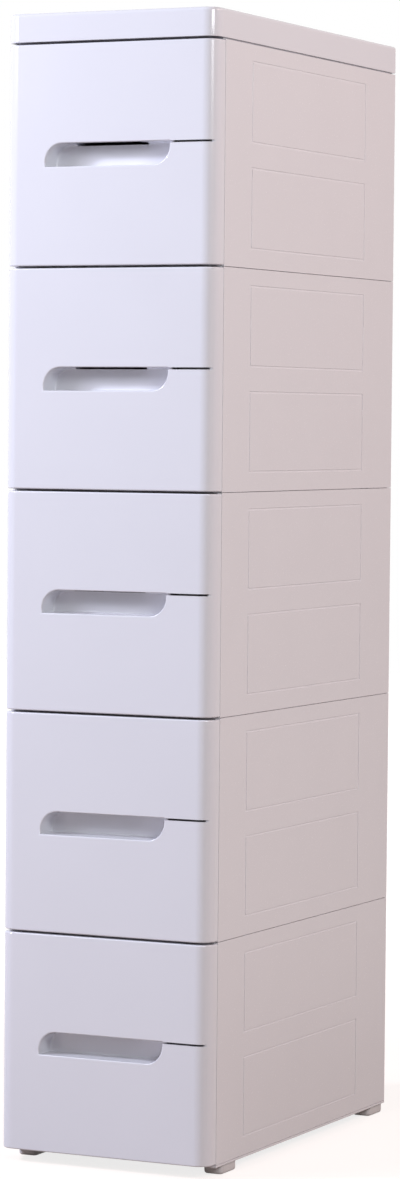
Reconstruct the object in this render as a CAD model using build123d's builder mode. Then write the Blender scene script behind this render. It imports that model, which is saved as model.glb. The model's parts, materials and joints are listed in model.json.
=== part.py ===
from build123d import *
import os

# A slim tower of five plastic drawers. The carcass is a stack of tiers: ribbed side and back
# panels plug over flat boards, a ribbed base stands on four pads and a cap closes the top.
# Each drawer is an open box with a hollow glossy front snapped on to its front plate.
#
# Millimetres. X runs across the front, Y from the front to the back, Z up. The origin is on
# the floor under the middle of the tower. Tiers are counted from the bottom.

# Overall sizes
width = 200.0
depth = 385.0
tier_count = 5
tier_pitch = 190.0
foot_height = 8.5
skirt_height = 2.0          # rim of the base that shows under the side panels
cover_height = 24.5

# Mouldings
skin = 2.5                  # outer wall of panels, boards, cap and drawer fronts
rib = 2.0                   # stiffening ribs on the hidden faces
corner_radius = 13.0        # upright front corners
back_radius = 4.0           # upright rear corners
edge_bevel = 1.2            # top and bottom edges of a drawer front
cover_round = 3.0           # upper edge of the cap
panel_thickness = 10.0
back_thickness = 8.0
back_inset = 2.0            # the back panels stand this far inside the rear edge
board_thickness = 12.0
post = 10.5                 # solid rear edge of a side panel, grooved for the back panel
tongue = 3.0                # thickness of the back panel's edge tongues
tongue_reach = 2.8          # how far a tongue enters the side panel
panel_cells = (4, 2)        # hollows between the ribs of each hidden face
back_cells = (2, 2)
board_cells = (2, 4)
cap_cells = (3, 4)

# Fits
fit = 0.3                   # clearance of what plugs together
seam_gap = 0.4              # line between stacked panels
front_gap = 2.0             # line between drawer fronts, and under the cap
door_gap = 1.0              # from a drawer front's returns to the carcass
slide_gap = 0.3             # from a drawer's runners to the board under it
side_gap = 2.0              # from a drawer box to the side panels
rear_gap = 3.5              # from a drawer box to the back panel

# Engraved fields on the outside of each side panel, two to a tier
field_margin = 72.0         # from the front face, and from the rear edge
field_height = 68.0
field_spacing = 22.0        # between the two fields of a tier
field_lift = 1.0            # the pair sits a little above the middle of its tier
line_width = 1.6
line_depth = 0.5

# Drawer front
return_depth = 17.5         # how far the front wraps on to the sides
grip_length = 118.0
grip_height = 20.0
grip_depth = 22.0
grip_shift = -2.0           # the grip sits slightly left of the middle
grip_round = 16.0           # its upper left and lower right corners
grip_wall = 2.0
lip_bevel = 1.0             # eased rim of the grip
hold_length = 68.0          # undercut behind the grip's upper lip, for the fingertips
hold_shift = -7.0
hold_lip = 6.0              # thickness of the front behind which the fingers hook
hold_rise = 12.0            # how far it reaches above the grip
hold_drop = 1.5             # how much of it shows under the lip
hold_setback = 10.0         # how far its hood stands behind the grip
groove_height = 1.8         # fine line from the grip round the right-hand corner
groove_depth = 5.0

# Drawer box
box_wall = 2.2
box_round = 8.0
bead_reach = 1.2            # stiffening bead round the rim, standing out from the walls
bead_height = 4.0
plate = 2.5                 # front plate that carries the drawer front
runner_width = 6.0
runner_height = 2.5
rim_drop = 12.5             # rim below the seam line over it
travel = 280.0              # how far a drawer slides out
stop_width = 9.0
stop_length = 3.0
stop_drop = 5.0             # how far the board's stops hang down
stop_rise = 5.0             # how far the drawer's ears stand up
stop_clearance = 0.5
stop_setback = 3.0          # from the board's front edge to its stops

# Snap fastening of a drawer front
stud = 8.0
stud_inset = 16.0
hook_width = 10.0
hook_thickness = 2.0
hook_reach = 3.0            # behind the plate
hook_barb = 1.2
hook_spread = 144.0
hook_rise = 120.0

# Pads under the base
foot_width = 18.0
foot_length = 30.0
foot_side = 1.5             # in from the side face
foot_front = 33.0           # back from the front face
foot_back = 4.0             # in from the rear edge
foot_bevel = 2.0            # round the underside
foot_corner = 3.0           # cut off the upright corners
peg_width = 7.0
peg_length = 16.0
peg_height = 5.0

# Places worked out from the sizes
front_y = -depth / 2
back_y = depth / 2
side_x = width / 2
return_y = front_y + return_depth
carcass_y = return_y + door_gap
first_seam = foot_height + skirt_height
top_seam = first_seam + tier_count * tier_pitch
half_board = board_thickness / 2
inner_x = side_x - panel_thickness          # inner face of a side panel
skin_x = side_x - skin                      # inner face of its skin
back_face = back_y - back_inset             # outer face of a back panel
back_inner = back_face - back_thickness
board_back = back_face - skin - fit
board_x = skin_x - fit
panel_bottom = first_seam + seam_gap / 2
panel_height = tier_pitch - seam_gap
seat_depth = half_board - seam_gap / 2      # panel end that slips over a board
front_bottom = first_seam + front_gap / 2
front_height = tier_pitch - front_gap
grip_z = front_bottom + front_height / 2
box_x = inner_x - side_gap
box_back = back_inner - rear_gap
box_bottom = first_seam + half_board + slide_gap
box_rim = first_seam + tier_pitch - rim_drop
plate_back = return_y - fit
stop_y = carcass_y + stop_setback


def rib_cell(extent, count):
    """Size of each of so many hollows that share an extent with the ribs between them."""
    return (extent - (count - 1) * rib) / count


os.makedirs("parts", exist_ok=True)


def save(shape, label):
    """Write one piece under its own name."""
    shape.label = label
    export_step(shape, f"parts/{label}.step")


# Side panel of the lowest tier, right-hand side. Its ends slip over the boards, its inner
# face is ribbed, and its outer face carries the two engraved fields.
with BuildPart() as right_panel:
    with BuildSketch(Plane.XY.offset(panel_bottom)) as panel_plan:
        with Locations(((inner_x + side_x) / 2, (carcass_y + back_y) / 2)):
            Rectangle(panel_thickness, back_y - carcass_y)
        outer_rear = panel_plan.vertices().group_by(Axis.Y)[-1].sort_by(Axis.X)[-1]
        fillet(outer_rear, back_radius)
    extrude(amount=panel_height)

    # Seats at both ends, where the boards plug in
    seat_length = board_back + fit - carcass_y
    for seat_z in (panel_bottom, panel_bottom + panel_height - seat_depth):
        with BuildSketch(Plane.XY.offset(seat_z)):
            with Locations(((inner_x + skin_x) / 2, carcass_y + seat_length / 2)):
                Rectangle(skin_x - inner_x, seat_length)
        extrude(amount=seat_depth, mode=Mode.SUBTRACT)

    # Hollows between the ribs of the inner face
    hollow_front = carcass_y + skin
    hollow_back = back_y - post
    hollow_bottom = first_seam + half_board + skin
    hollow_top = first_seam + tier_pitch - half_board - skin
    cell_length = rib_cell(hollow_back - hollow_front, panel_cells[0])
    cell_height = rib_cell(hollow_top - hollow_bottom, panel_cells[1])
    with BuildSketch(Plane.YZ.offset(inner_x)):
        with Locations(((hollow_front + hollow_back) / 2, (hollow_bottom + hollow_top) / 2)):
            with GridLocations(cell_length + rib, cell_height + rib, *panel_cells):
                Rectangle(cell_length, cell_height)
    extrude(amount=panel_thickness - skin, mode=Mode.SUBTRACT)

    # Upright groove for the back panel's tongue
    tongue_y = back_face - skin / 2 - tongue / 2
    with BuildSketch(Plane.XY.offset(panel_bottom)):
        with Locations((inner_x + (tongue_reach + fit) / 2, tongue_y)):
            Rectangle(tongue_reach + fit, tongue + 2 * fit)
    extrude(amount=panel_height, mode=Mode.SUBTRACT)

    # Engraved outlines of the fields
    field_length = depth - 2 * field_margin
    field_z = first_seam + tier_pitch / 2 + field_lift
    with BuildSketch(Plane.YZ.offset(side_x)):
        with Locations((0, field_z)):
            with GridLocations(1, field_height + field_spacing, 1, 2):
                Rectangle(field_length + line_width, field_height + line_width)
                Rectangle(field_length - line_width, field_height - line_width,
                          mode=Mode.SUBTRACT)
    extrude(amount=-line_depth, mode=Mode.SUBTRACT)


# Back panel of the lowest tier: ribbed inside like the side panels, with a tongue along each
# upright edge. Its outer face is plain.
with BuildPart() as back_panel:
    back_x = inner_x - fit
    with BuildSketch(Plane.XY.offset(panel_bottom)):
        with Locations((0, (back_inner + back_face) / 2)):
            Rectangle(2 * back_x, back_thickness)
        with Locations((0, tongue_y)):
            Rectangle(2 * (inner_x + tongue_reach), tongue)
    extrude(amount=panel_height)

    # Both ends hook over the rear edges of the boards
    for seat_z in (panel_bottom, panel_bottom + panel_height - seat_depth):
        with BuildSketch(Plane.XY.offset(seat_z)):
            with Locations((0, (back_inner + board_back + fit) / 2)):
                Rectangle(2 * side_x, board_back + fit - back_inner)
        extrude(amount=seat_depth, mode=Mode.SUBTRACT)

    # Hollows between the ribs
    hollow_x = back_x - skin
    cell_width = rib_cell(2 * hollow_x, back_cells[0])
    cell_height = rib_cell(hollow_top - hollow_bottom, back_cells[1])
    with BuildSketch(Plane.XZ.offset(-back_inner)):
        with Locations((0, (hollow_bottom + hollow_top) / 2)):
            with GridLocations(cell_width + rib, cell_height + rib, *back_cells):
                Rectangle(cell_width, cell_height)
    extrude(amount=skin - back_thickness, mode=Mode.SUBTRACT)


# Board between two tiers, on the first seam over the lowest tier. Its ribs are underneath,
# and two stops hang from its front edge to catch the ears of the drawer below.
def add_stops(seam_z):
    """Stops under the front edge of a board or of the cap, for the drawer below."""
    stop_x = box_x - stop_width / 2
    with BuildSketch(Plane.XY.offset(seam_z - half_board)) as stops:
        with Locations((-stop_x, stop_y + stop_length / 2), (stop_x, stop_y + stop_length / 2)):
            Rectangle(stop_width, stop_length)
    extrude(stops.sketch, amount=-stop_drop)


def hollow_underside(bottom_z, height, cells, margin_x, margin_front):
    """Hollows between ribs, cut upwards into the underside of a board."""
    low_y = carcass_y + margin_front
    high_y = board_back - skin
    across = rib_cell(2 * (board_x - margin_x), cells[0])
    along = rib_cell(high_y - low_y, cells[1])
    with BuildSketch(Plane.XY.offset(bottom_z)) as hollows:
        with Locations((0, (low_y + high_y) / 2)):
            with GridLocations(across + rib, along + rib, *cells):
                Rectangle(across, along)
    extrude(hollows.sketch, amount=height, mode=Mode.SUBTRACT)


with BuildPart() as shelf_board:
    board_seam = first_seam + tier_pitch
    with BuildSketch(Plane.XY.offset(board_seam - half_board)):
        with Locations((0, (carcass_y + board_back) / 2)):
            Rectangle(2 * board_x, board_back - carcass_y)
    extrude(amount=board_thickness)
    hollow_underside(board_seam - half_board, board_thickness - skin, board_cells,
                     panel_thickness, stop_setback + stop_length + skin)
    add_stops(board_seam)


# Base: a rim that the lowest panels stand on, a board's upper half that they plug over, ribs
# underneath and a socket for each pad's peg.
foot_x = side_x - foot_side - foot_width / 2
foot_places = {
    "foot_front_left": (-foot_x, front_y + foot_front + foot_length / 2),
    "foot_front_right": (foot_x, front_y + foot_front + foot_length / 2),
    "foot_back_left": (-foot_x, back_y - foot_back - foot_length / 2),
    "foot_back_right": (foot_x, back_y - foot_back - foot_length / 2),
}
with BuildPart() as base_frame:
    with BuildSketch(Plane.XY.offset(foot_height)) as rim_plan:
        with Locations((0, (carcass_y + back_y) / 2)):
            Rectangle(width, back_y - carcass_y)
        fillet(rim_plan.vertices().group_by(Axis.Y)[-1], back_radius)
    extrude(amount=skirt_height)
    with BuildSketch(Plane.XY.offset(first_seam)):
        with Locations((0, (carcass_y + board_back) / 2)):
            Rectangle(2 * board_x, board_back - carcass_y)
    extrude(amount=half_board)
    hollow_underside(foot_height, skirt_height + half_board - skin, board_cells,
                     board_x - foot_x + foot_width / 2, skin)
    with BuildSketch(Plane.XY.offset(foot_height)):
        with Locations(*foot_places.values()):
            Rectangle(peg_width + 2 * fit, peg_length + 2 * fit)
    extrude(amount=peg_height + fit, mode=Mode.SUBTRACT)


# Pads: bevelled below, with a peg that presses into the base.
def make_foot(place):
    """One pad under the base, at its place in plan."""
    with BuildPart() as foot:
        with BuildSketch() as pad_plan:
            with Locations(place):
                Rectangle(foot_width, foot_length)
            chamfer(pad_plan.vertices(), foot_corner)
        extrude(amount=foot_height)
        chamfer(foot.faces().sort_by(Axis.Z)[0].edges(), foot_bevel)
        with BuildSketch(Plane.XY.offset(foot_height)):
            with Locations(place):
                Rectangle(peg_width, peg_length)
        extrude(amount=peg_height)
    return foot.part


# Cap: a skirted lid with rounded corners. An inner frame plugs into the topmost panels, and
# carries the stops of the highest drawer.
with BuildPart() as top_cover:
    cover_bottom = top_seam + front_gap / 2
    cover_top = cover_bottom + cover_height
    with BuildSketch(Plane.XY.offset(cover_bottom)) as cover_plan:
        Rectangle(width, depth)
        fillet(cover_plan.vertices().group_by(Axis.Y)[0], corner_radius)
        fillet(cover_plan.vertices().group_by(Axis.Y)[-1], back_radius)
    extrude(amount=cover_height)
    fillet(top_cover.faces().sort_by(Axis.Z)[-1].edges(), cover_round)
    with BuildSketch(Plane.XY.offset(cover_bottom)) as inner_plan:
        Rectangle(width - 2 * skin, depth - 2 * skin)
        fillet(inner_plan.vertices().group_by(Axis.Y)[0], corner_radius - skin)
        fillet(inner_plan.vertices().group_by(Axis.Y)[-1], back_radius - skin)
    extrude(amount=cover_height - skin, mode=Mode.SUBTRACT)
    plug_bottom = top_seam - half_board
    plug_height = cover_top - skin - plug_bottom
    with BuildSketch(Plane.XY.offset(plug_bottom)):
        with Locations((0, (carcass_y + board_back) / 2)):
            Rectangle(2 * board_x, board_back - carcass_y)
    extrude(amount=plug_height)
    hollow_underside(plug_bottom, plug_height, cap_cells, skin,
                     stop_setback + stop_length + skin)
    add_stops(top_seam)


# Drawer front of the lowest tier: a hollow shell, rounded on its upright corners, with the
# grip moulded into it as a closed pocket.
grip_x = grip_shift
grip_left = grip_x - grip_length / 2
grip_right = grip_x + grip_length / 2
grip_top = grip_z + grip_height / 2
hook_places = [(x, grip_z + z) for x in (-hook_spread / 2, hook_spread / 2)
               for z in (-hook_rise / 2, hook_rise / 2)]
with BuildPart() as drawer_front:
    with BuildSketch(Plane.XY.offset(front_bottom)) as front_plan:
        with Locations((0, front_y + return_depth / 2)):
            Rectangle(width, return_depth)
        fillet(front_plan.vertices().group_by(Axis.Y)[0], corner_radius)
    extrude(amount=front_height)
    end_edges = drawer_front.faces().filter_by(Axis.Z).edges()
    chamfer(end_edges.filter_by(lambda edge: edge.center().Y < return_y - fit), edge_bevel)
    with BuildSketch(Plane.XY.offset(front_bottom + skin)) as hollow_plan:
        with Locations((0, (front_y + skin + return_y) / 2)):
            Rectangle(width - 2 * skin, return_depth - skin)
        fillet(hollow_plan.vertices().group_by(Axis.Y)[0], corner_radius - skin)
    extrude(amount=front_height - 2 * skin, mode=Mode.SUBTRACT)

    # Block that holds the grip, with a hood over the finger hold
    with BuildSketch(Plane.XZ.offset(-(front_y + skin))):
        with Locations((grip_x, grip_z)):
            Rectangle(grip_length + 2 * grip_wall, grip_height + 2 * grip_wall)
    extrude(amount=-(grip_depth + grip_wall - skin))
    hold_bottom = grip_top - hold_drop
    hold_height = hold_drop + hold_rise
    hold_z = hold_bottom + hold_height / 2
    with BuildSketch(Plane.XZ.offset(-(front_y + skin))):
        with Locations((hold_shift, hold_z)):
            Rectangle(hold_length + 2 * grip_wall, hold_height + 2 * grip_wall)
    extrude(amount=-(grip_depth + hold_setback - skin))

    # The grip itself, then the hold behind its upper lip, open to the rear so that it can be
    # moulded
    with BuildSketch(Plane.XZ.offset(-front_y)) as grip_outline:
        with Locations((grip_x, grip_z)):
            Rectangle(grip_length, grip_height)
        left_corners = grip_outline.vertices().group_by(Axis.X)[0]
        right_corners = grip_outline.vertices().group_by(Axis.X)[-1]
        fillet([left_corners.sort_by(Axis.Y)[-1], right_corners.sort_by(Axis.Y)[0]], grip_round)
    extrude(amount=-grip_depth, mode=Mode.SUBTRACT)
    with BuildSketch(Plane.XZ.offset(-(front_y + hold_lip))):
        with Locations((hold_shift, hold_z)):
            Rectangle(hold_length, hold_height)
    extrude(amount=-(grip_depth + hold_setback - hold_lip), mode=Mode.SUBTRACT)
    face_edges = drawer_front.faces().sort_by(Axis.Y)[0].inner_wires().edges()
    chamfer(face_edges, lip_bevel)

    # Fine groove that carries the grip's upper edge round the corner
    with BuildSketch(Plane.XZ.offset(-front_y)):
        with Locations(((grip_right + side_x) / 2, grip_top - groove_height / 2)):
            Rectangle(side_x - grip_right + 2 * lip_bevel, groove_height)
    extrude(amount=-groove_depth, mode=Mode.SUBTRACT)

    # Studs that stand on the box's front plate, and hooks that snap through it
    stud_x = side_x - stud_inset
    stud_z = front_height / 2 - stud_inset
    with BuildSketch(Plane.XZ.offset(-(front_y + skin))):
        with Locations((0, grip_z)):
            with GridLocations(2 * stud_x, 2 * stud_z, 2, 2):
                Rectangle(stud, stud)
    extrude(amount=-(plate_back - plate - front_y - skin))
    with BuildSketch(Plane.XZ.offset(-(front_y + skin))):
        with Locations(*hook_places):
            Rectangle(hook_width, hook_thickness)
    extrude(amount=-(plate_back + hook_reach - front_y - skin))
    with BuildSketch(Plane.XZ.offset(-(plate_back + fit))):
        with Locations(*[(x, z + (hook_thickness + hook_barb) / 2) for x, z in hook_places]):
            Rectangle(hook_width, hook_barb)
    extrude(amount=fit - hook_reach)


# Drawer box of the lowest tier: an open tub with a bead round its rim, behind a full-size
# front plate. Runners slide on the board below, and two ears on the rim meet the stops.
with BuildPart() as drawer_box:
    tub_bottom = box_bottom + runner_height
    tub_height = box_rim - tub_bottom
    with BuildSketch(Plane.XY.offset(box_rim)) as tub_plan:
        with Locations((0, (plate_back + box_back) / 2)):
            Rectangle(2 * box_x, box_back - plate_back)
        fillet(tub_plan.vertices().group_by(Axis.Y)[-1], box_round)
    extrude(amount=-tub_height)
    with BuildSketch(Plane.XY.offset(box_rim)) as bead_plan:
        with Locations((0, (plate_back + box_back + bead_reach) / 2)):
            Rectangle(2 * (box_x + bead_reach), box_back + bead_reach - plate_back)
        fillet(bead_plan.vertices().group_by(Axis.Y)[-1], box_round + bead_reach)
    extrude(amount=-bead_height)
    with BuildSketch(Plane.XY.offset(box_rim)) as tub_inside:
        with Locations((0, (plate_back + box_back - box_wall) / 2)):
            Rectangle(2 * (box_x - box_wall), box_back - box_wall - plate_back)
        fillet(tub_inside.vertices().group_by(Axis.Y)[-1], box_round - box_wall)
    extrude(amount=box_wall - tub_height, mode=Mode.SUBTRACT)

    # Front plate, with a window for the grip and slots for the hooks
    plate_height = front_height - 2 * (skin + fit)
    with BuildSketch(Plane.XZ.offset(-plate_back)):
        with Locations((0, grip_z)):
            Rectangle(2 * (skin_x - fit), plate_height)
        with Locations((grip_x, grip_z)):
            Rectangle(grip_length + 2 * (grip_wall + fit), grip_height + 2 * (grip_wall + fit),
                      mode=Mode.SUBTRACT)
        with Locations((hold_shift, hold_z)):
            Rectangle(hold_length + 2 * (grip_wall + fit), hold_height + 2 * (grip_wall + fit),
                      mode=Mode.SUBTRACT)
        with Locations(*[(x, z + hook_barb / 2) for x, z in hook_places]):
            Rectangle(hook_width + 2 * fit, hook_thickness + hook_barb + 2 * fit,
                      mode=Mode.SUBTRACT)
    extrude(amount=plate)

    # Runners under the floor
    runner_x = box_x - box_round - runner_width / 2
    runner_back = box_back - box_round
    with BuildSketch(Plane.XY.offset(box_bottom)):
        for side in (-1, 1):
            with Locations((side * runner_x, (plate_back + runner_back) / 2)):
                Rectangle(runner_width, runner_back - plate_back)
    extrude(amount=runner_height + box_wall)

    # Ears that meet the stops when the drawer is fully out
    ear_front = stop_y + stop_length + travel + stop_clearance
    with BuildSketch(Plane.XY.offset(box_rim - stop_rise)):
        for side in (-1, 1):
            with Locations((side * (box_x - stop_width / 2 - box_wall / 2),
                            ear_front + stop_length / 2)):
                Rectangle(stop_width - box_wall, stop_length)
    extrude(amount=2 * stop_rise)


# Every tier repeats the lowest one
for tier in range(tier_count):
    lift = Pos(0, 0, tier * tier_pitch)
    save(lift * right_panel.part, f"right_panel_{tier + 1}")
    save(lift * right_panel.part.mirror(Plane.YZ), f"left_panel_{tier + 1}")
    save(lift * back_panel.part, f"back_panel_{tier + 1}")
    save(lift * drawer_front.part, f"drawer_front_{tier + 1}")
    save(lift * drawer_box.part, f"drawer_box_{tier + 1}")
for tier in range(tier_count - 1):
    save(Pos(0, 0, tier * tier_pitch) * shelf_board.part, f"shelf_board_{tier + 1}")
for label, place in foot_places.items():
    save(make_foot(place), label)
save(base_frame.part, "base_frame")
save(top_cover.part, "top_cover")
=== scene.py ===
"""A slim tower of five plastic drawers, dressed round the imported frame.

It has glossy moulded fronts, satin side panels, a polished cap and four pads.
Metres, in the frame's own axes: X across the front, Y from the front to the back, Z up.
"""

import itertools
import json
import math

import bmesh
import bpy
from mathutils import Matrix, Vector

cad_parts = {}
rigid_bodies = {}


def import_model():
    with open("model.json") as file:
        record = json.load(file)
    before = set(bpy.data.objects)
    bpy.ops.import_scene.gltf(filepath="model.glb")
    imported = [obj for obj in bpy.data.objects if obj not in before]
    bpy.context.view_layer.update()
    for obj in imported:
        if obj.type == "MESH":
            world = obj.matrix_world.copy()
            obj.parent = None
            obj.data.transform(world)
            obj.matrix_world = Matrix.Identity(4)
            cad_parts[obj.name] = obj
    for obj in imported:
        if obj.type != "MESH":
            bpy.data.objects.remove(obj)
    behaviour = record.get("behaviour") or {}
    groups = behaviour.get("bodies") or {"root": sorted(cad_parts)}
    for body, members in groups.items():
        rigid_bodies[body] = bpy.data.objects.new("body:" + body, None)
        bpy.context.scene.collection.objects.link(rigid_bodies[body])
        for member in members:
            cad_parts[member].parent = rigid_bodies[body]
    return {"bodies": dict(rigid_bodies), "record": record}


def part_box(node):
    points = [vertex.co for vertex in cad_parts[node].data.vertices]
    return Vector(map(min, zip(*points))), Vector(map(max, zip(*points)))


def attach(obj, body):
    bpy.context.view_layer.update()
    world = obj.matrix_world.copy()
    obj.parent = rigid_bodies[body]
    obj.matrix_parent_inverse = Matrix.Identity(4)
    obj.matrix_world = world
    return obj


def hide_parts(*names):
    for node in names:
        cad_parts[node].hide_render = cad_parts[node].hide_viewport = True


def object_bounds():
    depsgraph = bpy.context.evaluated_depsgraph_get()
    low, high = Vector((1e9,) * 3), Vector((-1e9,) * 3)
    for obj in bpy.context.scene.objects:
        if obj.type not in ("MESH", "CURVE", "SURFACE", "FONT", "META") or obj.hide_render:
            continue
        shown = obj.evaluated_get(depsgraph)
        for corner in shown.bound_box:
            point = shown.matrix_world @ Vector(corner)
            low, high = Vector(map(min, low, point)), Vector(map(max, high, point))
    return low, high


bl_info = {
    "name": "Plastic Drawer Tower",
    "version": (1, 0, 0),
    "blender": (4, 5, 0),
    "location": "3D View > Sidebar > Drawer Tower",
    "description": "Builds a slim plastic drawer tower, its finishes and its studio",
    "category": "Object",
}

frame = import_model()
cad_low, cad_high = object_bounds()

MM = 0.001
TIERS = sum(body.startswith("drawer_") for body in frame["bodies"])


def linear(code):
    """An sRGB hex colour as linear red, green and blue."""
    channels = [int(code[i:i + 2], 16) / 255 for i in (1, 3, 5)]
    return tuple(c / 12.92 if c <= 0.04045 else ((c + 0.055) / 1.055) ** 2.4
                 for c in channels)


def length(name, description, default):
    """A size property in metres."""
    return bpy.props.FloatProperty(
        name=name, description=description, default=default, min=0.0, precision=4,
        unit="LENGTH")


def colour(name, description, code):
    """A colour property whose default is an sRGB hex colour."""
    return bpy.props.FloatVectorProperty(
        name=name, description=description, default=linear(code), min=0.0, max=1.0,
        size=3, subtype="COLOR")


class TowerSizes(bpy.types.PropertyGroup):
    """Sizes of the mouldings. Overall sizes and places come from the frame."""

    skin: length("Skin", "Outer wall of panels, boards, cap and fronts", 2.5 * MM)
    rib: length("Rib", "Ribs between the hollows of a hidden face", 2 * MM)
    fit: length("Fit", "Clearance of what plugs together", 0.3 * MM)
    corner_radius: length("Front corners", "Radius of the upright front corners", 13 * MM)
    back_radius: length("Rear corners", "Radius of the upright rear corners", 4 * MM)
    panel: length("Side panel", "Thickness of a side panel", 10 * MM)
    post: length("Rear post", "Solid rear edge of a side panel", 10.5 * MM)
    board: length("Board", "Thickness of a board between two tiers", 12 * MM)
    tongue: length("Tongue", "Thickness of a back panel's edge tongues", 3 * MM)
    tongue_reach: length("Tongue reach", "How far a tongue enters a side panel", 2.8 * MM)
    field_margin: length("Field margin", "From the tower's front to a field", 72 * MM)
    field_height: length("Field height", "Height of a field on a side panel", 68 * MM)
    field_spacing: length("Field spacing", "Between the two fields of a panel", 22 * MM)
    field_lift: length("Field lift", "Height of the pair over the tier's middle", 1 * MM)
    line_width: length("Field line", "Width of the line round a field", 1.6 * MM)
    line_depth: length("Field line depth", "Depth of the line round a field", 0.5 * MM)
    cap_edge: length("Cap edge", "Radius of the cap's upper edge", 3 * MM)
    front_edge: length("Front edge", "Radius of a front's top and bottom edges", 1.3 * MM)
    return_depth: length("Front return", "How far a front wraps on to a side", 17.5 * MM)
    return_edge: length("Return edge", "Radius of the rear edges of a front", 0.15 * MM)
    grip_length: length("Grip length", "Length of a grip", 118 * MM)
    grip_height: length("Grip height", "Height of a grip", 20 * MM)
    grip_depth: length("Grip depth", "Depth of a grip", 22 * MM)
    grip_left: length("Grip offset", "How far a grip sits left of the middle", 2 * MM)
    grip_round: length("Grip corners", "Radius of a grip's two round corners", 16 * MM)
    grip_wall: length("Grip wall", "Wall round a grip", 2 * MM)
    grip_floor: length("Grip floor", "Radius where a grip's walls meet its rear", 2 * MM)
    grip_rim: length("Grip rim", "Radius of a grip's rim", 1 * MM)
    hold_length: length("Finger hold", "Length of the hold behind the lip", 68 * MM)
    hold_left: length("Finger hold offset", "How far it sits left of the middle", 7 * MM)
    hold_lip: length("Lip", "Thickness the fingers hook behind", 6 * MM)
    hold_rise: length("Finger hold rise", "How far it reaches above the grip", 12 * MM)
    hold_drop: length("Finger hold drop", "How much of it shows under the lip", 1.5 * MM)
    groove_height: length("Groove", "Height of the line from grip to corner", 1.8 * MM)
    groove_depth: length("Groove depth", "Depth of that line", 5 * MM)
    stud: length("Stud", "Side of a stud behind a front", 8 * MM)
    stud_inset: length("Stud inset", "From a front's edges to its studs", 16 * MM)
    hook_width: length("Hook", "Width of a snap hook", 10 * MM)
    hook_thickness: length("Hook thickness", "Thickness of a snap hook", 2 * MM)
    hook_reach: length("Hook reach", "How far a hook stands behind the plate", 3 * MM)
    hook_barb: length("Hook barb", "Height of a hook's barb", 1.2 * MM)
    hook_spread: length("Hook spread", "Between hooks, across", 144 * MM)
    hook_rise: length("Hook rise", "Between hooks, upwards", 120 * MM)
    box_wall: length("Box wall", "Wall of a drawer box", 2.2 * MM)
    box_round: length("Box corners", "Radius of a box's upright rear corners", 8 * MM)
    box_floor: length("Box floor", "Radius where a box's walls meet its floor", 4 * MM)
    bead_reach: length("Bead", "How far the rim's bead stands out", 1.2 * MM)
    bead_height: length("Bead height", "Height of the rim's bead", 4 * MM)
    plate: length("Front plate", "Plate of a box that carries its front", 2.5 * MM)
    runner_width: length("Runner", "Width of a runner", 6 * MM)
    runner_height: length("Runner height", "Height of a runner", 2.5 * MM)
    side_gap: length("Side gap", "From a drawer box to the side panels", 2 * MM)
    slide_gap: length("Slide gap", "From a runner to the board under it", 0.3 * MM)
    rim_drop: length("Rim drop", "From the seam over a box down to its rim", 12.5 * MM)
    stop_width: length("Stop", "Width of a stop and of an ear", 9 * MM)
    stop_length: length("Stop length", "Depth of a stop and of an ear", 3 * MM)
    stop_drop: length("Stop drop", "How far a stop hangs down", 5 * MM)
    stop_rise: length("Ear rise", "How far a box's ears stand up", 5 * MM)
    stop_clearance: length("Stop clearance", "Left when a drawer is out", 0.5 * MM)
    stop_setback: length("Stop setback", "From a board's front to its stops", 3 * MM)
    pad_corner: length("Pad corners", "Radius of a pad's upright corners", 4 * MM)
    pad_edge: length("Pad edge", "Radius round a pad's underside", 2.5 * MM)
    peg_width: length("Peg width", "Width of a pad's peg", 7 * MM)
    peg_length: length("Peg length", "Length of a pad's peg", 16 * MM)
    peg_height: length("Peg height", "Height of a pad's peg", 5 * MM)
    ease: length("Eased edges", "Radius of the plain moulded edges", 0.35 * MM)


class TowerFinishes(bpy.types.PropertyGroup):
    """Colours of the mouldings."""

    front_colour: colour("Drawer fronts", "Glossy white of fronts and cap", "#E7E7EC")
    shell_colour: colour("Carcass", "Satin white of the panels and the base", "#E7E5E8")
    inner_colour: colour("Drawer boxes", "Milky white of the boxes and boards", "#E6E6E8")
    pad_colour: colour("Pads", "Greyer white of the pads", "#DEDBDB")


class TowerStudio(bpy.types.PropertyGroup):
    """Camera, lamps and floor."""

    camera_place: bpy.props.FloatVectorProperty(
        name="Camera place", description="Where the photograph was taken from",
        default=(1.5112, -3.1463, 0.6415), size=3, subtype="XYZ", unit="LENGTH")
    camera_yaw: bpy.props.FloatProperty(
        name="Camera yaw", description="Turn of the view from +Y towards -X",
        default=math.radians(25.71), unit="ROTATION")
    camera_pitch: bpy.props.FloatProperty(
        name="Camera pitch", description="Tilt of the view below the horizon",
        default=math.radians(2.48), unit="ROTATION")
    camera_roll: bpy.props.FloatProperty(
        name="Camera roll", description="Turn of the picture about the line of view",
        default=math.radians(0.507), unit="ROTATION")
    lens: bpy.props.FloatProperty(
        name="Lens", description="Focal length for a 36 mm long side",
        default=119.5, unit="CAMERA")
    key_colour: colour("Window light", "Cool light from the upper left", "#E2E8FD")
    front_colour: colour("Front light", "Soft light from the left front", "#ECEBFD")
    fill_colour: colour("Fill light", "Warm light from the right", "#FFDFDA")
    edge_colour: colour("Edge light", "Neutral light from the right front", "#F6FAFF")
    floor_colour: colour("Floor", "What the floor throws back at the tower", "#98877E")
    floor_clear: length("Floor fade", "Distance at which the floor is white", 1.5)


# Materials

TONE_SPREAD = (0.985, 1.012)    # shares of the base colour, over the slow waves
GLOSS_SPREAD = (0.9, 1.12)      # shares of the roughness, over the fine grain
UPWARD = 0.9                    # how much a face has to look up to be a top


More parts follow.
